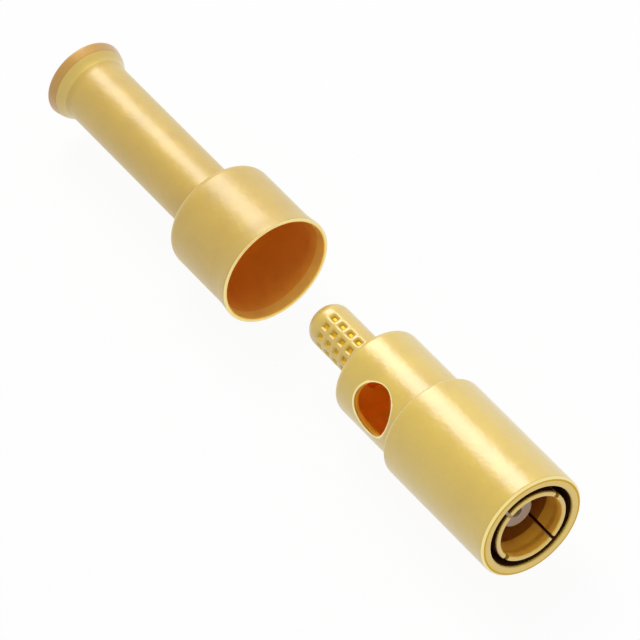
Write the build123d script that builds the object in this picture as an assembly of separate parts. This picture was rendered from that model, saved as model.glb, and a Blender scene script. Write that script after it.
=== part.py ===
"""Straight crimp plug for thin coaxial cable, with its loose crimp ferrule.

Sizes are in millimetres. X is the axis of the connector and points out of the mating end,
with the mating face at 0, so everything else lies at negative x. Z is up.
"""
from build123d import *
import os
from math import cos, radians, sin

# Plug body: sleeve, rear body and crimp stem, turned from one bar
sleeve_wall = 0.575
sleeve_length = 8.5
sleeve_front_chamfer = 0.12
sleeve_rear_chamfer = 0.15
recess_mouth_chamfer = 0.07
rear_body_diameter = 5.2
rear_body_length = 4.87
rear_body_rounding = 0.35
rear_body_wall = 0.45
rear_wall = 0.5
stem_diameter = 2.44
stem_length = 4.43
stem_nose_length = 0.6
stem_tip_land = 0.07
stem_bore = 1.6
stem_bore_chamfer = 0.05

# Solder window, drilled through one side of the rear body; its turn is from +Z towards -Y
window_diameter = 2.7
window_setback = 1.91
window_turn = 67.5

# Square pits that grip the cable braid, pressed into two opposite sides of the stem
pit_sides = 2
pit_rows = 4
pit_rings = 5
pit_row_turn = 28.5
pit_side_turn = 54.0
pit_pitch = 0.69
pit_length = 0.48
pit_width = 0.42
pit_depth = 0.15
pit_chamfer = 0.13
pit_setback = 1.2

# Spring basket: slotted outer contact that is pushed over the mating jack
basket_diameter = 4.25
basket_gap = 0.35
finger_wall = 0.2
lip_rise = 0.075
lip_land = 0.4
lip_taper = 0.3
lip_rounding = 0.09
finger_chamfer = 0.07
socket_depth = 3.6
socket_floor = 0.8
slot_count = 4
slot_width = 0.25
slot_turn = 41.0
basket_collar = 1.6

# Insulators that hold the centre contact
boss_diameter = 1.8
boss_setback = 1.25
entry_diameter = 0.6
entry_wall = 0.3
flange_diameter = 3.2
flange_length = 2.3
bead_step = 0.1
bead_length = 1.5

# Centre contact: socket at the front, solder cup at the rear
pin_bore = 0.54
pin_bore_depth = 2.6
socket_diameter = 0.95
socket_slot_width = 0.1
socket_slot_length = 2.2
contact_collar_diameter = 1.5
contact_collar_length = 0.6
shank_diameter = 1.0
cup_reach = 3.0
cup_bore = 0.62
cup_bore_depth = 2.0
cup_notch_width = 0.45
cup_notch_length = 1.0

# Crimp ferrule: wide cup for the rear body, tube for the stem and braid, flared cable entry
ferrule_apart = 4.3
ferrule_wall = 0.22
cup_clearance = 0.3
cup_end_clearance = 0.1
cup_shoulder_wall = 0.3
cup_shoulder_rounding = 0.5
cup_floor_chamfer = 0.15
mouth_rise = 0.12
mouth_run = 0.9
mouth_chamfer = 0.07
braid_room = 0.38
tube_length = 11.1
flare_rise = 0.35
flare_run = 0.6
rim_rise = 0.14
rim_run = 0.55
rim_chamfer = 0.07

# Room between pieces that are pressed or slid together
seat_clearance = 0.01

# Places along the axis
step_x = -sleeve_length
rear_face_x = step_x - rear_body_length
stem_tip_x = rear_face_x - stem_length
socket_floor_x = -socket_depth
flange_x = socket_floor_x - socket_floor
bead_x = flange_x - flange_length
chamber_x = bead_x - bead_length
chamber_end_x = rear_face_x + rear_wall
mouth_x = stem_tip_x - ferrule_apart

# Radii that follow from the driving sizes
recess_radius = basket_diameter / 2 + basket_gap
sleeve_radius = recess_radius + sleeve_wall
chamber_radius = rear_body_diameter / 2 - rear_body_wall
bead_seat_radius = chamber_radius + bead_step
socket_radius = basket_diameter / 2 - finger_wall
lip_radius = socket_radius - lip_rise


def turned(outline):
    """Solid turned about X from the lines of a closed outline of (x, radius) points."""
    return revolve(make_face(outline), Axis.X)


def bar(start_x, end_x, radius):
    """Round bar along X."""
    return turned(Polyline((start_x, 0), (start_x, radius), (end_x, radius), (end_x, 0), close=True))


def ring_edges(part, x, radius):
    """Circular edges of a turned part at one place along X and one radius."""
    def at_place(edge):
        same_x = abs(edge.arc_center.X - x) < seat_clearance / 2
        return same_x and abs(edge.radius - radius) < seat_clearance / 2
    return part.edges().filter_by(GeomType.CIRCLE).filter_by(at_place)


def around_axis(turn):
    """Plane at the axis whose own Z points outwards, turned from +Z towards -Y."""
    outwards = (0, -sin(radians(turn)), cos(radians(turn)))
    return Plane((0, 0, 0), x_dir=(1, 0, 0), z_dir=outwards)


def pit(ring_x, turn):
    """Cutter for one pit: a square that narrows towards the stem's axis."""
    punch = Box(pit_length, pit_width, 2 * pit_depth)
    punch = chamfer(punch.faces().sort_by(Axis.Z)[0].edges(), pit_chamfer)
    return around_axis(turn) * Pos(ring_x, 0, stem_diameter / 2) * punch


def make_plug_body():
    """Turned body with its bores, solder window and pitted stem."""
    nose_x = stem_tip_x + stem_nose_length
    tip_inner = stem_bore / 2 + stem_bore_chamfer
    outline = [
        Polyline(
            (-recess_mouth_chamfer, recess_radius),
            (0, recess_radius + recess_mouth_chamfer),
            (0, sleeve_radius - sleeve_front_chamfer),
            (-sleeve_front_chamfer, sleeve_radius),
            (step_x + sleeve_rear_chamfer, sleeve_radius),
            (step_x, sleeve_radius - sleeve_rear_chamfer),
            (step_x, rear_body_diameter / 2),
            (rear_face_x, rear_body_diameter / 2),
            (rear_face_x, stem_diameter / 2),
            (nose_x, stem_diameter / 2),
        ),
        TangentArc((nose_x, stem_diameter / 2), (stem_tip_x, tip_inner + stem_tip_land), tangent=(-1, 0)),
        Polyline(
            (stem_tip_x, tip_inner + stem_tip_land),
            (stem_tip_x, tip_inner),
            (stem_tip_x + stem_bore_chamfer, stem_bore / 2),
            (chamber_end_x, stem_bore / 2),
            (chamber_end_x, chamber_radius),
            (chamber_x, chamber_radius),
            (chamber_x, bead_seat_radius),
            (bead_x, bead_seat_radius),
            (bead_x, recess_radius),
            (-recess_mouth_chamfer, recess_radius),
        ),
    ]
    body = turned(outline)
    body = fillet(ring_edges(body, rear_face_x, rear_body_diameter / 2), rear_body_rounding)

    window = around_axis(window_turn) * Pos(step_x - window_setback, 0, 0)
    drill = Cylinder(window_diameter / 2, rear_body_diameter, align=(Align.CENTER, Align.CENTER, Align.MIN))
    body -= window * drill

    first_ring_x = stem_tip_x + pit_setback
    first_row_turn = pit_side_turn - pit_row_turn * (pit_rows - 1) / 2
    pits = [
        pit(first_ring_x + ring * pit_pitch, first_row_turn + row * pit_row_turn + side * 360 / pit_sides)
        for ring in range(pit_rings)
        for row in range(pit_rows)
        for side in range(pit_sides)
    ]
    return body - pits


def make_spring_basket():
    """Slotted basket with inward lips, a floor and a collar pressed into the sleeve."""
    outer_radius = basket_diameter / 2
    collar_radius = recess_radius - seat_clearance
    collar_x = bead_x + basket_collar
    taper_x = -lip_land - lip_taper
    basket = turned(Polyline(
        (0, lip_radius),
        (0, outer_radius - finger_chamfer),
        (-finger_chamfer, outer_radius),
        (collar_x, outer_radius),
        (collar_x, collar_radius),
        (bead_x, collar_radius),
        (bead_x, flange_diameter / 2 + seat_clearance),
        (flange_x, flange_diameter / 2 + seat_clearance),
        (flange_x, boss_diameter / 2 + seat_clearance),
        (socket_floor_x, boss_diameter / 2 + seat_clearance),
        (socket_floor_x, socket_radius),
        (taper_x, socket_radius),
        (-lip_land, lip_radius),
        close=True,
    ))
    basket = fillet(ring_edges(basket, 0, lip_radius), lip_rounding)
    for slot in range(slot_count):
        saw = Box(socket_depth, slot_width, outer_radius, align=(Align.MAX, Align.CENTER, Align.MIN))
        basket -= around_axis(slot_turn + slot * 360 / slot_count) * saw
    return basket


def make_front_insulator():
    """Insulator with the boss that enters the jack and the flange behind the basket floor."""
    boss_x = -boss_setback
    contact_x = boss_x - entry_wall
    collar_x = bead_x + contact_collar_length
    return turned(Polyline(
        (boss_x, entry_diameter / 2),
        (boss_x, boss_diameter / 2),
        (flange_x, boss_diameter / 2),
        (flange_x, flange_diameter / 2),
        (bead_x, flange_diameter / 2),
        (bead_x, contact_collar_diameter / 2 + seat_clearance),
        (collar_x, contact_collar_diameter / 2 + seat_clearance),
        (collar_x, socket_diameter / 2 + seat_clearance),
        (contact_x, socket_diameter / 2 + seat_clearance),
        (contact_x, entry_diameter / 2),
        close=True,
    ))


def make_rear_insulator():
    """Round bead that closes the front of the solder chamber."""
    bead = bar(chamber_x, bead_x, bead_seat_radius - seat_clearance)
    return bead - bar(chamber_x, bead_x, shank_diameter / 2 + seat_clearance)


def make_centre_contact():
    """Contact with a split socket, a collar between the insulators and a notched solder cup."""
    socket_x = -boss_setback - entry_wall
    collar_x = bead_x + contact_collar_length
    cup_end_x = chamber_x - cup_reach
    contact = turned(Polyline(
        (socket_x, pin_bore / 2),
        (socket_x, socket_diameter / 2),
        (collar_x, socket_diameter / 2),
        (collar_x, contact_collar_diameter / 2),
        (bead_x, contact_collar_diameter / 2),
        (bead_x, shank_diameter / 2),
        (cup_end_x, shank_diameter / 2),
        (cup_end_x, cup_bore / 2),
        (cup_end_x + cup_bore_depth, cup_bore / 2),
        (cup_end_x + cup_bore_depth, 0),
        (socket_x - pin_bore_depth, 0),
        (socket_x - pin_bore_depth, pin_bore / 2),
        close=True,
    ))
    split = Box(socket_slot_length, socket_slot_width, socket_diameter, align=(Align.MAX, Align.CENTER, Align.CENTER))
    contact -= around_axis(slot_turn) * Pos(socket_x, 0, 0) * split
    notch = Box(cup_notch_length, cup_notch_width, shank_diameter, align=(Align.MIN, Align.CENTER, Align.MIN))
    return contact - around_axis(window_turn) * Pos(cup_end_x, 0, 0) * notch


def make_crimp_ferrule():
    """Ferrule with a bell-mouthed cup, a rounded shoulder, a tube and a flared end."""
    cup_inner = rear_body_diameter / 2 + cup_clearance
    cup_outer = cup_inner + ferrule_wall
    tube_inner = stem_diameter / 2 + braid_room
    tube_outer = tube_inner + ferrule_wall
    cup_floor_x = mouth_x - rear_body_length - cup_end_clearance
    shoulder_x = cup_floor_x - cup_shoulder_wall
    flare_x = shoulder_x - tube_length
    rim_x = flare_x - flare_run
    end_x = rim_x - rim_run
    end_rise = flare_rise + rim_rise
    ferrule = turned(Polyline(
        (shoulder_x, tube_outer),
        (shoulder_x, cup_outer),
        (mouth_x - mouth_run, cup_outer),
        (mouth_x - mouth_chamfer, cup_outer + mouth_rise),
        (mouth_x, cup_outer + mouth_rise - mouth_chamfer),
        (mouth_x, cup_inner + mouth_rise),
        (mouth_x - mouth_run, cup_inner),
        (cup_floor_x + cup_floor_chamfer, cup_inner),
        (cup_floor_x, cup_inner - cup_floor_chamfer),
        (cup_floor_x, tube_inner),
        (flare_x, tube_inner),
        (rim_x, tube_inner + flare_rise),
        (end_x, tube_inner + end_rise),
        (end_x, tube_outer + end_rise - rim_chamfer),
        (end_x + rim_chamfer, tube_outer + end_rise),
        (rim_x, tube_outer + flare_rise),
        (flare_x, tube_outer),
        close=True,
    ))
    return fillet(ring_edges(ferrule, shoulder_x, cup_outer), cup_shoulder_rounding)


pieces = {
    "plug_body": make_plug_body(),
    "spring_basket": make_spring_basket(),
    "front_insulator": make_front_insulator(),
    "rear_insulator": make_rear_insulator(),
    "centre_contact": make_centre_contact(),
    "crimp_ferrule": make_crimp_ferrule(),
}

os.makedirs("parts", exist_ok=True)
for name, piece in pieces.items():
    export_step(piece, f"parts/{name}.step")
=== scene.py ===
"""Gold-plated coaxial crimp plug and its loose crimp ferrule, lying apart on a white table.

Places are in the part's own frame: X runs out of the mating end, the mating face is at 0, Z is up.
Sizes are written as millimetres times MM, because the scene is in metres.
"""
import math

import bmesh
import bpy
from mathutils import Matrix, Vector


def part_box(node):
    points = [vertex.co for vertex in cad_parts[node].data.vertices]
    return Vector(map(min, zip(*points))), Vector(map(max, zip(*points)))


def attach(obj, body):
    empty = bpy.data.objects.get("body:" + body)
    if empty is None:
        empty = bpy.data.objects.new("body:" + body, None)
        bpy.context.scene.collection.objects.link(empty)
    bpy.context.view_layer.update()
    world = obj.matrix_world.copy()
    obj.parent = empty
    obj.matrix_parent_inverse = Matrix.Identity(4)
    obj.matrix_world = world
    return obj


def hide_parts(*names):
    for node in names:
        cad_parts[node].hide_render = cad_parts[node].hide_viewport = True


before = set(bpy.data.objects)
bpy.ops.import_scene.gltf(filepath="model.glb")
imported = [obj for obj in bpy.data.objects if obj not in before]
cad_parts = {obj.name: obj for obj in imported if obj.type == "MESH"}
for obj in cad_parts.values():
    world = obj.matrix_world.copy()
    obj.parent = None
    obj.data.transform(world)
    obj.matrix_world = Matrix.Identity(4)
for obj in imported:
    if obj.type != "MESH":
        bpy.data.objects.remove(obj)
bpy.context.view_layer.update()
MM = 0.001

# Plug body: one bar of brass, turned, bored and drilled, then plated with satin gold.
# The sleeve at the front shelters the spring basket, and the rear body holds the solder chamber
# behind a round window. Pits pressed into the stem bite the cable's braid under the ferrule.
body_low, body_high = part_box("plug_body")
sleeve_radius = body_high.z
sleeve_chamfer = 0.12 * MM
chamfer_radius = sleeve_radius - sleeve_chamfer
face_line_width = 0.06 * MM
face_line_radius = chamfer_radius - face_line_width
recess_radius = 2.475 * MM
recess_chamfer = 0.06 * MM
rear_radius = 2.6 * MM
chamber_radius = 2.15 * MM
stem_radius = 1.22 * MM
stem_bore_radius = 0.8 * MM
stem_tip_x = body_low.x
step_x = -8.5 * MM
step_chamfer = 0.15 * MM
rear_face_x = -13.37 * MM
chamber_front_x = -8.2 * MM
chamber_rear_x = -12.87 * MM
bead_seat_radius = 2.25 * MM
bead_front_x = -6.7 * MM
window_x = -10.41 * MM
window_radius = 1.35 * MM
window_turn = 67.5
window_half_turn = 32.5
window_cells = 13
window_reach = 1.4
window_edge = 0.07 * MM
pit_pitch = 0.69 * MM
pit_cells = 4
ridge_cells = 2
pit_rings = 5
pit_row_turn = 30
pit_width_turn = 20
pit_side_turn = 110
pit_slope = 0.06 * MM
pit_step = 0.075 * MM
pit_steps = 2
first_pit_x = stem_tip_x + 1.2 * MM
overrun = 0.1 * MM
body_clouds = 1.6 * MM
roughness_swing = 0.06


def turned(outline, steps=72, face_length=0.3 * MM, closed=True):
    """Skin turned about X from corners of (x, radius, rounding)."""
    bm = bmesh.new()
    corners = [bm.verts.new((x, 0, radius)) for x, radius, rounding in outline]
    for start, end in zip(corners, corners[1:]):
        bm.edges.new((start, end))
    if closed:
        bm.edges.new((corners[-1], corners[0]))
    for corner, (x, radius, rounding) in zip(corners, outline):
        if rounding:
            segments = 3 + int(rounding / (0.1 * MM))
            bmesh.ops.bevel(bm, geom=[corner], offset=rounding, segments=segments, profile=0.5,
                            affect="VERTICES", material=-1)
    for side in list(bm.edges):
        cuts = round(side.calc_length() / face_length) - 1
        if cuts > 0:
            bmesh.ops.subdivide_edges(bm, edges=[side], cuts=cuts)
    bmesh.ops.spin(bm, geom=bm.verts[:] + bm.edges[:], cent=(0, 0, 0), axis=(1, 0, 0),
                   angle=math.tau, steps=steps, use_merge=True)
    bmesh.ops.remove_doubles(bm, verts=bm.verts, dist=1e-4 * MM)
    bmesh.ops.recalc_face_normals(bm, faces=bm.faces)
    return bm


def turn_of(place, start=0):
    """Degrees of a place about X from a start turn, counted from +Z towards -Y."""
    turn = math.degrees(math.atan2(-place.y, place.z)) - start
    return (turn + 180) % 360 - 180


def radius_of(place):
    """Distance of a place from the connector's axis."""
    return math.hypot(place.y, place.z)


def plate(bm, number, low_x, high_x, low_radius, high_radius):
    """Gives the faces between two places and two radii another of the piece's materials, by number; most
    are gold coloured as painted light or shade.
    """
    for face in bm.faces:
        middle = face.calc_center_median()
        if low_x < middle.x < high_x and low_radius < radius_of(middle) < high_radius:
            face.material_index = number


def piece_from(bm, name, *materials):
    """Object of one finished piece, smoothed once."""
    mesh = bpy.data.meshes.new(name)
    bm.to_mesh(mesh)
    bm.free()
    mesh.shade_smooth()
    for material in materials:
        mesh.materials.append(material)
    piece = bpy.data.objects.new(name, mesh)
    bpy.context.scene.collection.objects.link(piece)
    smooth = piece.modifiers.new("smooth", "SUBSURF")
    smooth.levels = 1
    smooth.render_levels = 1
    return piece


def satin_gold(name, colour, roughness, cloud_size, gloss_ior=1.5, gloss_roughness=0, edge_haze=0):
    """Satin gold plate with cloudy patches and soft ripples, and outside a pale gloss and hazy edges."""
    material = bpy.data.materials.new(name)
    material.use_nodes = True
    nodes = material.node_tree.nodes
    links = material.node_tree.links
    shader = nodes["Principled BSDF"]
    shader.inputs["Metallic"].default_value = 1
    shader.inputs["Sheen Weight"].default_value = edge_haze
    shader.inputs["Sheen Roughness"].default_value = 0.5
    if gloss_roughness:
        shader.inputs["Coat Weight"].default_value = 1
        shader.inputs["Coat IOR"].default_value = gloss_ior
        shader.inputs["Coat Roughness"].default_value = gloss_roughness
    place = nodes.new("ShaderNodeTexCoord")

    clouds = nodes.new("ShaderNodeTexNoise")
    clouds.inputs["Scale"].default_value = 1 / cloud_size
    clouds.inputs["Detail"].default_value = 5
    clouds.inputs["Roughness"].default_value = 0.6
    links.new(place.outputs["Object"], clouds.inputs["Vector"])

    tint = nodes.new("ShaderNodeMix")
    tint.data_type = "RGBA"
    tint.inputs["A"].default_value = (0.97 * colour[0], 0.96 * colour[1], 1.2 * colour[2], 1)
    tint.inputs["B"].default_value = (1.02 * colour[0], 1.04 * colour[1], 0.8 * colour[2], 1)
    links.new(clouds.outputs["Fac"], tint.inputs["Factor"])
    links.new(tint.outputs["Result"], shader.inputs["Base Color"])

    gloss = nodes.new("ShaderNodeMapRange")
    gloss.inputs["From Min"].default_value = 0.3
    gloss.inputs["From Max"].default_value = 0.7
    gloss.inputs["To Min"].default_value = roughness - roughness_swing
    gloss.inputs["To Max"].default_value = roughness + roughness_swing
    links.new(clouds.outputs["Fac"], gloss.inputs["Value"])
    links.new(gloss.outputs["Result"], shader.inputs["Roughness"])

    ripples = nodes.new("ShaderNodeTexNoise")
    ripples.inputs["Scale"].default_value = 1 / (0.35 * MM)
    ripples.inputs["Detail"].default_value = 4
    links.new(place.outputs["Object"], ripples.inputs["Vector"])

    relief = nodes.new("ShaderNodeBump")
    relief.inputs["Strength"].default_value = 0.5
    relief.inputs["Distance"].default_value = 0.028 * MM
    links.new(ripples.outputs["Fac"], relief.inputs["Height"])
    links.new(relief.outputs["Normal"], shader.inputs["Normal"])
    links.new(relief.outputs["Normal"], shader.inputs["Coat Normal"])
    return material


window_lines = [window_x + window_radius * (1 - 2 * line / window_cells)
                for line in range(window_cells + 1)]
pit_cell = pit_pitch / (pit_cells + ridge_cells)
pit_zone_x = first_pit_x - pit_cells / 2 * pit_cell
pit_zone_cells = (pit_rings - 1) * (pit_cells + ridge_cells) + pit_cells
pit_lines = [pit_zone_x + line * pit_cell for line in range(pit_zone_cells, -1, -1)]

bm = turned([
    (-recess_chamfer, recess_radius, 0.03 * MM),
    (0, recess_radius + recess_chamfer, 0.03 * MM),
    (0, face_line_radius, 0),
    (0, chamfer_radius, 0.02 * MM),
    (-sleeve_chamfer, sleeve_radius, 0.03 * MM),
    (step_x + step_chamfer, sleeve_radius, 0.05 * MM),
    (step_x, sleeve_radius - step_chamfer, 0.05 * MM),
    (step_x, rear_radius, 0.03 * MM),
    *((x, rear_radius, 0) for x in window_lines),
    (rear_face_x, rear_radius, 0.35 * MM),
    (rear_face_x, stem_radius, 0.04 * MM),
    *((x, stem_radius, 0) for x in pit_lines),
    (stem_tip_x + 0.225 * MM, stem_radius, 0.36 * MM),
    (stem_tip_x, 0.92 * MM, 0.04 * MM),
    (stem_tip_x, stem_bore_radius, 0.03 * MM),
    (chamber_rear_x, stem_bore_radius, 0.03 * MM),
    (chamber_rear_x, chamber_radius, 0.1 * MM),
    *((x, chamber_radius, 0) for x in reversed(window_lines)),
    (chamber_front_x, chamber_radius, 0.02 * MM),
    (chamber_front_x, bead_seat_radius, 0.02 * MM),
    (bead_front_x, bead_seat_radius, 0.02 * MM),
    (bead_front_x, recess_radius, 0.02 * MM),
])


def window_place(place):
    """Share of the window's half width that a place lies along and across the axis."""
    across = math.sin(math.radians(turn_of(place, window_turn))) / math.sin(math.radians(window_half_turn))
    return Vector(((place.x - window_x) / window_radius, across))


def faces_window(place):
    """Whether a place is on the wall of the rear body, near the window."""
    share = window_place(place)
    near = abs(turn_of(place, window_turn)) < 90
    on_wall = radius_of(place) > chamber_radius - pit_slope
    return near and on_wall and max(abs(share.x), abs(share.y)) < window_reach


cut_out = [face for face in bm.faces if faces_window(face.calc_center_median())
           and max(map(abs, window_place(face.calc_center_median()))) < 1]
bmesh.ops.delete(bm, geom=cut_out, context="FACES")
for vertex in [vertex for vertex in bm.verts if faces_window(vertex.co)]:
    share = window_place(vertex.co)
    reach = max(abs(share.x), abs(share.y))
    radius = radius_of(vertex.co)
    flat = Vector((share.x * window_radius, radius * share.y * math.sin(math.radians(window_half_turn))))
    round_place = share.normalized() * reach * window_radius
    pull = min(1, (window_reach - reach) / (window_reach - 1))
    moved = flat.lerp(round_place, pull)
    turn = math.radians(window_turn) + math.asin(moved.y / radius)
    vertex.co = (window_x + moved.x, -radius * math.sin(turn), radius * math.cos(turn))
hole_edges = [edge for edge in bm.edges if edge.is_boundary]
wall_middle = (chamber_radius + rear_radius) / 2
rim = [edge for edge in hole_edges if radius_of(edge.verts[0].co) > wall_middle]
bmesh.ops.bridge_loops(bm, edges=hole_edges)
bmesh.ops.recalc_face_normals(bm, faces=bm.faces)
window_rim = bmesh.ops.bevel(bm, geom=rim, offset=window_edge, segments=3, profile=0.5, affect="EDGES",
                             material=-1)["faces"]


def in_pit(place):
    """Whether a place on the stem lies in one of the pits."""
    cell = (place.x - pit_zone_x) / pit_cell
    in_zone = abs(radius_of(place) - stem_radius) < pit_slope and 0 < cell < pit_zone_cells
    on_side = turn_of(place) % 180 < pit_side_turn
    in_row = turn_of(place) % pit_row_turn < pit_width_turn
    return in_zone and on_side and in_row and cell % (pit_cells + ridge_cells) < pit_cells


pits = [face for face in bm.faces if in_pit(face.calc_center_median())]
for step in range(pit_steps):
    bmesh.ops.inset_region(bm, faces=pits, thickness=pit_slope, depth=-pit_step, use_even_offset=True)
bmesh.ops.recalc_face_normals(bm, faces=bm.faces)

recess_shade_number, chamber_bounce_light_number, pit_and_line_shade_number, edge_highlight_number, face_light_number = range(1, 6)
bore_allowance = 0.03 * MM
front_depth = 0.04 * MM
under_pits_radius = stem_radius - (pit_steps + 1) * pit_step
plate(bm, recess_shade_number, bead_front_x - overrun, -overrun, 0, recess_radius + bore_allowance)
plate(bm, chamber_bounce_light_number, chamber_rear_x - overrun, bead_front_x, 0, rear_radius - window_edge)
plate(bm, chamber_bounce_light_number, stem_tip_x + overrun, chamber_rear_x, 0, stem_bore_radius + bore_allowance)
plate(bm, pit_and_line_shade_number, pit_zone_x, rear_face_x, under_pits_radius, stem_radius - pit_step)
plate(bm, pit_and_line_shade_number, -front_depth, overrun, face_line_radius, chamfer_radius)
plate(bm, edge_highlight_number, -sleeve_chamfer, 0, chamfer_radius, sleeve_radius)
plate(bm, edge_highlight_number, step_x, step_x + step_chamfer, sleeve_radius - step_chamfer, sleeve_radius)
plate(bm, face_light_number, -front_depth, overrun, recess_radius + bore_allowance, face_line_radius)
for face in window_rim:
    face.material_index = edge_highlight_number

body_plate = satin_gold("body_plate", (0.64, 0.46, 0.001), 0.8, body_clouds,
                        gloss_ior=1.88, gloss_roughness=0.3, edge_haze=0.55)
# Painted shade: a near-black brown plating in the sleeve's recess and in the gap round the basket's
# collar.
recess_painted_shade = satin_gold("recess_painted_shade", (0.25, 0.09, 0.02), 0.5, body_clouds)
# Painted bounce light: a brighter, deeper orange plating in the solder chamber and the stem's bore stands
# for light bounced between their walls.
chamber_painted_bounce_light = satin_gold("chamber_painted_bounce_light", (0.98, 0.65, 0.06), 0.8, body_clouds)
# Painted shade: a darker plating on the pits' floors and as a thin dark line round the sleeve's front
# face.
pit_and_line_painted_shade = satin_gold("pit_and_line_painted_shade", (0.6, 0.37, 0.03), 0.5, body_clouds)
# Painted highlight: a paler, glossier plating on the sleeve's chamfers, the window's rim and the ferrule's
# mouth.
edge_painted_highlight = satin_gold("edge_painted_highlight", (0.88, 0.7, 0.2), 0.4, body_clouds,
                        gloss_ior=2.1, gloss_roughness=0.25, edge_haze=0.6)
# Painted light: a brighter gold on the flat ring of the sleeve's front face.
face_painted_light = satin_gold("face_painted_light", (0.72, 0.51, 0.03), 0.7, body_clouds,
                        gloss_ior=1.9, gloss_roughness=0.3, edge_haze=0.3)
plug_body = piece_from(bm, "turned_body", body_plate, recess_painted_shade, chamber_painted_bounce_light, pit_and_line_painted_shade,
                       edge_painted_highlight, face_painted_light)
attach(plug_body, "plug")
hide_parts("plug_body")

# Spring basket: a turned and slotted cup of hardened copper alloy, plated with gold.
# Four fingers with inward lips grip the jack, and the collar behind them is pressed into the sleeve.
basket_low, basket_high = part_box("spring_basket")
collar_radius = basket_high.z
basket_rear_x = basket_low.x
finger_radius = 2.125 * MM
socket_radius = 1.925 * MM
lip_radius = 1.85 * MM
collar_front_x = -5.1 * MM
flange_seat_radius = 1.61 * MM
flange_seat_x = -4.4 * MM
basket_hole_radius = 0.91 * MM
socket_floor_x = -3.6 * MM
slot_end_x = -3.5 * MM
slot_turns = [41, 131, 221, 311]
slot_widths = [0.16 * MM, 0.32 * MM, 0.16 * MM, 0.32 * MM]
slot_half_turn = 5
slot_edge = 0.025 * MM
sharp_angle = 0.9
slot_rotation = Matrix.Rotation(math.radians(slot_turns[0]), 3, "X")
lip_end_x = -0.4 * MM
lip_ramp_end_x = -0.7 * MM
floor_shade_x = -1.3 * MM
basket_clouds = 1.2 * MM


def cut_slot(bm, turn, half_turn, open_x, end_x, width):
    """Saw cut through a turned wall from an open end, with flat walls and softened edges."""
    def in_slot(place):
        between = min(open_x, end_x) < place.x < max(open_x, end_x)
        return between and abs(turn_of(place, turn)) < half_turn
    sawn = [face for face in bm.faces if in_slot(face.calc_center_median())]
    bmesh.ops.delete(bm, geom=sawn, context="FACES")
    edges = [edge for edge in bm.edges if edge.is_boundary]
    for vertex in {vertex for edge in edges for vertex in edge.verts}:
        side = turn_of(vertex.co, turn)
        if abs(side) > half_turn / 2:
            radius = radius_of(vertex.co)
            moved = math.radians(turn) + math.copysign(math.asin(width / 2 / radius), side)
            vertex.co = (vertex.co.x, -radius * math.sin(moved), radius * math.cos(moved))
    ends = [edge for edge in edges if all(abs(vertex.co.x - end_x) < 1e-3 * MM for vertex in edge.verts)]
    end_faces = bmesh.ops.bridge_loops(bm, edges=ends)["faces"]
    open_edges = [edge for edge in bm.edges if edge.is_boundary]
    walls = bmesh.ops.holes_fill(bm, edges=open_edges, sides=0)["faces"]
    bmesh.ops.recalc_face_normals(bm, faces=bm.faces)
    sharp = {edge for face in walls + end_faces for edge in face.edges
             if edge.calc_face_angle(0) > sharp_angle}
    bmesh.ops.bevel(bm, geom=list(sharp), offset=slot_edge, segments=2, profile=0.5, affect="EDGES",
                    clamp_overlap=True, material=-1)


bm = turned([
    (0, lip_radius, 0.11 * MM),
    (0, finger_radius, 0.11 * MM),
    (slot_end_x, finger_radius, 0),
    (collar_front_x, finger_radius, 0.03 * MM),
    (collar_front_x, collar_radius, 0.05 * MM),
    (basket_rear_x, collar_radius, 0.03 * MM),
    (basket_rear_x, flange_seat_radius, 0.02 * MM),
    (flange_seat_x, flange_seat_radius, 0.02 * MM),
    (flange_seat_x, basket_hole_radius, 0.02 * MM),
    (socket_floor_x, basket_hole_radius, 0.02 * MM),
    (socket_floor_x, socket_radius, 0.05 * MM),
    (slot_end_x, socket_radius, 0),
    (lip_ramp_end_x, socket_radius, 0.06 * MM),
    (lip_end_x, lip_radius, 0.06 * MM),
])
bmesh.ops.rotate(bm, verts=bm.verts, cent=(0, 0, 0), matrix=slot_rotation)
for turn, width in zip(slot_turns, slot_widths):
    cut_slot(bm, turn, slot_half_turn, overrun, slot_end_x, width)

socket_light_number, floor_shade_number, basket_gap_shade_number = range(1, 4)
inner_radius = socket_radius + 0.05 * MM
socket_front_x = -0.08 * MM
outside_front_x = -0.15 * MM
plate(bm, socket_light_number, floor_shade_x, socket_front_x, 0, inner_radius)
plate(bm, floor_shade_number, basket_rear_x, floor_shade_x, 0, inner_radius)
# Painted shade: the basket's outside behind its fingers takes the recess's dark plating.
plate(bm, basket_gap_shade_number, basket_rear_x, outside_front_x, finger_radius - bore_allowance, collar_radius)
basket_plate = satin_gold("basket_plate", (0.68, 0.46, 0.02), 0.6, basket_clouds,
                          gloss_ior=2, gloss_roughness=0.25, edge_haze=0.5)
# Painted light: a brighter gold on the socket's inner wall near the mouth.
socket_painted_light = satin_gold("socket_painted_light", (0.93, 0.6, 0.09), 0.65, basket_clouds)
# Painted shade: a dark brown plating deeper in the socket and on its floor.
floor_painted_shade = satin_gold("floor_painted_shade", (0.6, 0.3, 0.05), 0.5, basket_clouds)
spring_basket = piece_from(bm, "spring_fingers", basket_plate, socket_painted_light, floor_painted_shade, recess_painted_shade)
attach(spring_basket, "plug")
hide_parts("spring_basket")

# Front insulator: turned from white fluoropolymer. Its grey-brown colour is painted shade with a painted
# gold reflection from its socket. Its boss stands inside the fingers with the entry hole for the jack's
# pin, and its flange is trapped behind the basket's floor.
insulator_low, boss_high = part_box("front_insulator")
boss_x = boss_high.x
boss_radius = 0.9 * MM
flange_radius = boss_high.z
entry_radius = 0.3 * MM
entry_end_x = -1.55 * MM
contact_bore_radius = 0.485 * MM
collar_pocket_radius = 0.76 * MM
collar_pocket_x = -6.1 * MM


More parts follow.
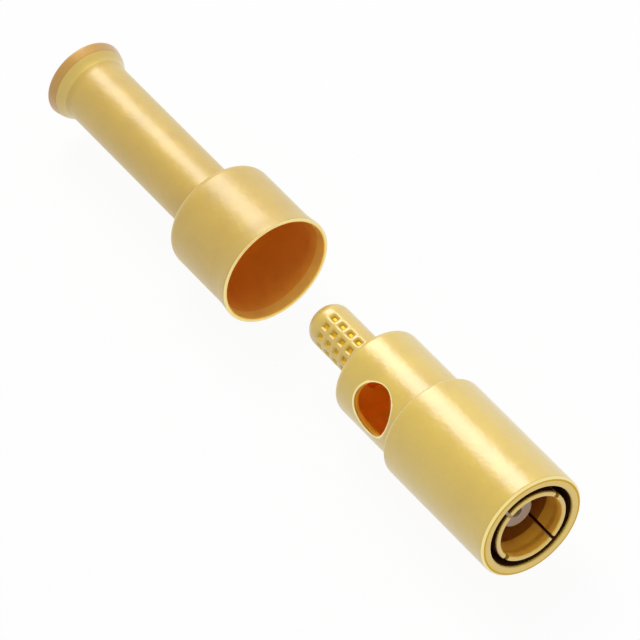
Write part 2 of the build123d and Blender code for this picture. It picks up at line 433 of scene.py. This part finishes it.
def matt_insulator(name, colour):
    """Matt fluoropolymer with a faint mottle in its tone and surface."""
    material = bpy.data.materials.new(name)
    material.use_nodes = True
    nodes = material.node_tree.nodes
    links = material.node_tree.links
    shader = nodes["Principled BSDF"]
    shader.inputs["Roughness"].default_value = 0.5
    place = nodes.new("ShaderNodeTexCoord")
    mottle = nodes.new("ShaderNodeTexNoise")
    mottle.inputs["Scale"].default_value = 1 / (0.25 * MM)
    mottle.inputs["Detail"].default_value = 3
    links.new(place.outputs["Object"], mottle.inputs["Vector"])
    tone = nodes.new("ShaderNodeMix")
    tone.data_type = "RGBA"
    tone.inputs["A"].default_value = (*(0.9 * part for part in colour), 1)
    tone.inputs["B"].default_value = (*colour, 1)
    links.new(mottle.outputs["Fac"], tone.inputs["Factor"])
    links.new(tone.outputs["Result"], shader.inputs["Base Color"])
    relief = nodes.new("ShaderNodeBump")
    relief.inputs["Strength"].default_value = 0.3
    relief.inputs["Distance"].default_value = 0.01 * MM
    links.new(mottle.outputs["Fac"], relief.inputs["Height"])
    links.new(relief.outputs["Normal"], shader.inputs["Normal"])
    return material


bm = turned([
    (boss_x, entry_radius, 0.04 * MM),
    (boss_x, boss_radius, 0.05 * MM),
    (flange_seat_x, boss_radius, 0.02 * MM),
    (flange_seat_x, flange_radius, 0.03 * MM),
    (insulator_low.x, flange_radius, 0.03 * MM),
    (insulator_low.x, collar_pocket_radius, 0.02 * MM),
    (collar_pocket_x, collar_pocket_radius, 0.02 * MM),
    (collar_pocket_x, contact_bore_radius, 0.02 * MM),
    (entry_end_x, contact_bore_radius, 0.02 * MM),
    (entry_end_x, entry_radius, 0.02 * MM),
])
# Painted shade: the boss is coloured grey-brown with a gold cast instead of white.
front_insulator = piece_from(bm, "white_boss", matt_insulator("boss_painted_shade", (0.46, 0.37, 0.3)))
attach(front_insulator, "plug")
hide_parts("front_insulator")

# Rear insulator: a plain bead of the same fluoropolymer, pressed in behind the front one.
# It traps the contact's collar and closes the front of the solder chamber.
bead_low, bead_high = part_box("rear_insulator")
bead_bore_radius = 0.51 * MM

bm = turned([
    (bead_high.x, bead_bore_radius, 0.03 * MM),
    (bead_high.x, bead_high.z, 0.03 * MM),
    (bead_low.x, bead_high.z, 0.03 * MM),
    (bead_low.x, bead_bore_radius, 0.03 * MM),
])
rear_insulator = piece_from(bm, "white_bead", matt_insulator("bead_white", (0.9, 0.88, 0.85)))
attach(rear_insulator, "plug")
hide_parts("rear_insulator")

# Centre contact: turned from hardened copper alloy and gold plated. Its split socket takes the
# jack's pin, its collar is held between the insulators, and its cup takes the cable's conductor.
contact_low, contact_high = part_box("centre_contact")
contact_front_x = contact_high.x
cup_end_x = contact_low.x
contact_collar_radius = contact_high.z
pin_bore_radius = 0.27 * MM
contact_radius = 0.475 * MM
shank_radius = 0.5 * MM
cup_bore_radius = 0.31 * MM
pin_bore_depth = 2.6 * MM
cup_depth = 2 * MM
notch_length = 1 * MM
notch_width = 0.42 * MM
notch_half_turn = 25
split_length = 2.2 * MM
split_width = 0.08 * MM
split_end_x = contact_front_x - split_length
notch_end_x = cup_end_x + notch_length

bm = turned([
    (contact_front_x - pin_bore_depth, 0, 0),
    (contact_front_x - pin_bore_depth, pin_bore_radius, 0.02 * MM),
    (split_end_x, pin_bore_radius, 0),
    (contact_front_x, pin_bore_radius, 0.03 * MM),
    (contact_front_x, contact_radius, 0.05 * MM),
    (split_end_x, contact_radius, 0),
    (collar_pocket_x, contact_radius, 0.02 * MM),
    (collar_pocket_x, contact_collar_radius, 0.03 * MM),
    (bead_high.x, contact_collar_radius, 0.03 * MM),
    (bead_high.x, shank_radius, 0.02 * MM),
    (notch_end_x, shank_radius, 0),
    (cup_end_x, shank_radius, 0.04 * MM),
    (cup_end_x, cup_bore_radius, 0.03 * MM),
    (notch_end_x, cup_bore_radius, 0),
    (cup_end_x + cup_depth, cup_bore_radius, 0.02 * MM),
    (cup_end_x + cup_depth, 0, 0),
], closed=False)
bmesh.ops.rotate(bm, verts=bm.verts, cent=(0, 0, 0), matrix=slot_rotation)
for turn in (slot_turns[0], slot_turns[2]):
    cut_slot(bm, turn, slot_half_turn, contact_front_x + overrun, split_end_x, split_width)
cut_slot(bm, window_turn, notch_half_turn, cup_end_x - overrun, notch_end_x, notch_width)

contact_plate = satin_gold("contact_plate", (0.95, 0.6, 0.05), 0.4, 0.8 * MM)
centre_contact = piece_from(bm, "pin_contact", contact_plate)
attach(centre_contact, "plug")
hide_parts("centre_contact")

# Crimp ferrule: drawn from soft copper tube and gold plated, loose until it is crimped.
# Its belled cup slides over the rear body, its tube over the pitted stem, and its flared end
# keeps the cable's jacket from chafing.
ferrule_low, ferrule_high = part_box("crimp_ferrule")
mouth_x = ferrule_high.x
mouth_radius = ferrule_high.z
flare_end_x = ferrule_low.x
ferrule_wall = 0.22 * MM
cup_radius = 3.12 * MM
tube_radius = 1.82 * MM
mouth_run = 0.9 * MM
shoulder_x = -27.37 * MM
cup_floor_x = -27.07 * MM
flare_x = -38.47 * MM
rim_x = -39.07 * MM
rim_radius = tube_radius + 0.35 * MM
flare_radius = tube_radius + 0.49 * MM
ferrule_clouds = 1.4 * MM

bm = turned([
    (mouth_x, mouth_radius - ferrule_wall, 0.05 * MM),
    (mouth_x, mouth_radius, 0.08 * MM),
    (mouth_x - mouth_run, cup_radius, 0.3 * MM),
    (shoulder_x, cup_radius, 0.5 * MM),
    (shoulder_x, tube_radius, 0.25 * MM),
    (flare_x, tube_radius, 0.4 * MM),
    (rim_x, rim_radius, 0.08 * MM),
    (flare_end_x, flare_radius, 0.08 * MM),
    (flare_end_x, flare_radius - ferrule_wall, 0.05 * MM),
    (rim_x, rim_radius - ferrule_wall, 0.08 * MM),
    (flare_x, tube_radius - ferrule_wall, 0.4 * MM),
    (cup_floor_x, tube_radius - ferrule_wall, 0.05 * MM),
    (cup_floor_x, cup_radius - ferrule_wall, 0.15 * MM),
    (mouth_x - mouth_run, cup_radius - ferrule_wall, 0.3 * MM),
])

cup_bounce_light_number, flare_number, mouth_highlight_number, cone_sheen_number, bell_reflection_number = range(1, 6)
bell_x = mouth_x - 0.5 * MM
mouth_line_radius = mouth_radius - 0.6 * ferrule_wall
plate(bm, cup_bounce_light_number, cup_floor_x - overrun, bell_x, 0, cup_radius - ferrule_wall / 2)
plate(bm, cup_bounce_light_number, flare_x, cup_floor_x, 0, tube_radius - ferrule_wall / 2)
plate(bm, flare_number, flare_end_x - overrun, rim_x, rim_radius - ferrule_wall / 2, mouth_radius)
plate(bm, bell_reflection_number, bell_x, mouth_x + overrun, 0, mouth_line_radius)
# Painted highlight: the mouth's rim takes the pale edge plating.
plate(bm, mouth_highlight_number, mouth_x - front_depth, mouth_x + overrun, mouth_line_radius, mouth_radius)
plate(bm, cone_sheen_number, rim_x, flare_x - 0.05 * MM, tube_radius, rim_radius)
ferrule_plate = satin_gold("ferrule_plate", (0.57, 0.385, 0.001), 0.8, ferrule_clouds,
                           gloss_ior=1.85, gloss_roughness=0.38, edge_haze=0.3)
# Painted bounce light: a deeper orange plating inside the cup and the tube stands for light bounced
# between their walls.
cup_painted_bounce_light = satin_gold("cup_painted_bounce_light", (0.85, 0.475, 0.08), 0.6, ferrule_clouds)
flare_plate = satin_gold("flare_plate", (0.5, 0.27, 0.02), 0.7, ferrule_clouds,
                         gloss_ior=1.6, gloss_roughness=0.4, edge_haze=0.5)
# Painted sheen: a paler, glossier copy of the ferrule's plating on the flared cone.
cone_painted_sheen = satin_gold("cone_painted_sheen", (0.59, 0.41, 0.01), 0.7, ferrule_clouds,
                        gloss_ior=2, gloss_roughness=0.4, edge_haze=0.5)
# Painted reflection: a brighter gold band just inside the cup's mouth.
bell_painted_reflection = satin_gold("bell_painted_reflection", (0.9, 0.64, 0.16), 0.6, ferrule_clouds)
crimp_ferrule = piece_from(bm, "formed_ferrule", ferrule_plate, cup_painted_bounce_light, flare_plate, edge_painted_highlight,
                           cone_painted_sheen, bell_painted_reflection)
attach(crimp_ferrule, "ferrule")
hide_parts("crimp_ferrule")

# Table: a plain white sheet that everything lies on, wide enough to fill every view.
# It keeps a faint shadow under the pieces and shows white in the metal as well.
table_z = ferrule_low.z - 0.01 * MM
table_size = 2.0
white_share = 0.94


def white_rays(nodes, links):
    """Output that is 1 where the camera sees the surface, in a mirror and through glass too, or else 0."""
    ray = nodes.new("ShaderNodeLightPath")
    seen = nodes.new("ShaderNodeMath")
    seen.operation = "MAXIMUM"
    links.new(ray.outputs["Is Camera Ray"], seen.inputs[0])
    links.new(ray.outputs["Is Glossy Ray"], seen.inputs[1])
    seen_through = nodes.new("ShaderNodeMath")
    seen_through.operation = "MAXIMUM"
    links.new(seen.outputs["Value"], seen_through.inputs[0])
    links.new(ray.outputs["Is Transmission Ray"], seen_through.inputs[1])
    return seen_through.outputs["Value"]


bm = bmesh.new()
bmesh.ops.create_grid(bm, x_segments=1, y_segments=1, size=table_size)
bmesh.ops.translate(bm, verts=bm.verts, vec=(0, 0, table_z))
table_mesh = bpy.data.meshes.new("table")
bm.to_mesh(table_mesh)
bm.free()
table = bpy.data.objects.new("table", table_mesh)
bpy.context.scene.collection.objects.link(table)

sheet = bpy.data.materials.new("white_sheet")
sheet.use_nodes = True
nodes = sheet.node_tree.nodes
links = sheet.node_tree.links
paper = nodes["Principled BSDF"]
paper.inputs["Base Color"].default_value = (0.85, 0.85, 0.85, 1)
paper.inputs["Roughness"].default_value = 0.9
paper.inputs["Specular IOR Level"].default_value = 0.1
glow = nodes.new("ShaderNodeEmission")
glow.inputs["Strength"].default_value = 1
share = nodes.new("ShaderNodeMath")
share.operation = "MULTIPLY"
share.inputs[1].default_value = white_share
links.new(white_rays(nodes, links), share.inputs[0])
blend = nodes.new("ShaderNodeMixShader")
links.new(share.outputs["Value"], blend.inputs["Fac"])
links.new(paper.outputs["BSDF"], blend.inputs[1])
links.new(glow.outputs["Emission"], blend.inputs[2])
links.new(blend.outputs["Shader"], nodes["Material Output"].inputs["Surface"])
table_mesh.materials.append(sheet)
sheet.cycles.emission_sampling = "NONE"

# Studio: white surroundings and a soft lamp above and behind the connector, whose reflection
# makes the long pale band on the barrels. A wide, weaker panel behind pales their upper sides.
world = bpy.data.worlds.new("studio")
bpy.context.scene.world = world
world.use_nodes = True
world.cycles.sampling_method = "NONE"
nodes = world.node_tree.nodes
links = world.node_tree.links
fill = nodes["Background"]
fill.inputs["Color"].default_value = (1, 1, 1, 1)
fill.inputs["Strength"].default_value = 0.6
backdrop = nodes.new("ShaderNodeBackground")
backdrop.inputs["Color"].default_value = (1, 1, 1, 1)
backdrop.inputs["Strength"].default_value = 1
blend = nodes.new("ShaderNodeMixShader")
links.new(white_rays(nodes, links), blend.inputs["Fac"])
links.new(fill.outputs["Background"], blend.inputs[1])
links.new(backdrop.outputs["Background"], blend.inputs[2])
links.new(blend.outputs["Shader"], nodes["World Output"].inputs["Surface"])

middle = (body_high + ferrule_low) / 2
middle.z = 0
lamp_distance = 0.5


def soft_lamp(name, direction, size, radiance):
    """Square lamp that shines on the middle of the connector from a direction."""
    light = bpy.data.lights.new(name, "AREA")
    light.shape = "SQUARE"
    light.size = size
    light.energy = radiance * math.pi * size ** 2
    lamp = bpy.data.objects.new(name, light)
    bpy.context.scene.collection.objects.link(lamp)
    lamp.visible_camera = False
    lamp.location = middle + direction.normalized() * lamp_distance
    lamp.rotation_euler = direction.to_track_quat("Z", "Y").to_euler()


soft_lamp("softbox", Vector((-0.583, 0.15, 0.797)), size=0.26, radiance=5.6)
soft_lamp("back_panel", Vector((-0.583, 0.703, 0.406)), size=0.44, radiance=0.35)

# Camera: a long lens that looks down on the mating end from in front and to one side.
camera_azimuth = math.radians(55)
camera_elevation = math.radians(44.6)
camera_distance = 404.6 * MM
aim = Vector((-18.2 * MM, 0, 0))
aim_drop = 0.26 * MM
back = Vector((math.sin(camera_azimuth) * math.cos(camera_elevation),
               -math.cos(camera_azimuth) * math.cos(camera_elevation),
               math.sin(camera_elevation)))
lens = bpy.data.cameras.new("camera")
lens.lens = 450
lens.sensor_width = 36
lens.clip_start = 0.01
camera = bpy.data.objects.new("camera", lens)
bpy.context.scene.collection.objects.link(camera)
camera.rotation_euler = back.to_track_quat("Z", "Y").to_euler()
camera_up = camera.rotation_euler.to_matrix() @ Vector((0, 1, 0))
camera.location = aim + back * camera_distance - camera_up * aim_drop
bpy.context.scene.camera = camera
bpy.context.scene.view_settings.view_transform = "Standard"

# Light passes many times between the plated walls of a bore before it comes out again.
bore_bounces = 16
bpy.context.scene.cycles.max_bounces = bore_bounces
bpy.context.scene.cycles.glossy_bounces = bore_bounces
